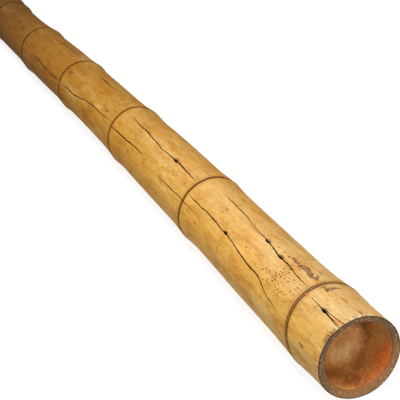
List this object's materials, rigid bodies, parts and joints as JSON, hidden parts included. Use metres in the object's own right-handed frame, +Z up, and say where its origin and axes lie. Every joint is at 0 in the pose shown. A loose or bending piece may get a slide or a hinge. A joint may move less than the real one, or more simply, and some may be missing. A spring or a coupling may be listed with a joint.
{
  "type": "bamboo cane",
  "caption": "Straight length of dried bamboo cane, lying down: a hollow culm with raised node rings, sawn square at both ends, with drying splits and small beetle holes.",
  "frame": {"origin": "bottom centre of the cane's box, on the surface it lies on", "axes": "+X along the cane towards the near cut end, +Z up"},
  "size_m": [1.5, 0.095, 0.0881],
  "materials": {
    "bamboo": "waxy golden tan skin, satin, with darker rings and a dull brown inside"
  },
  "bodies": {
    "root": {"culm": "bamboo"}
  },
  "joints": []
}
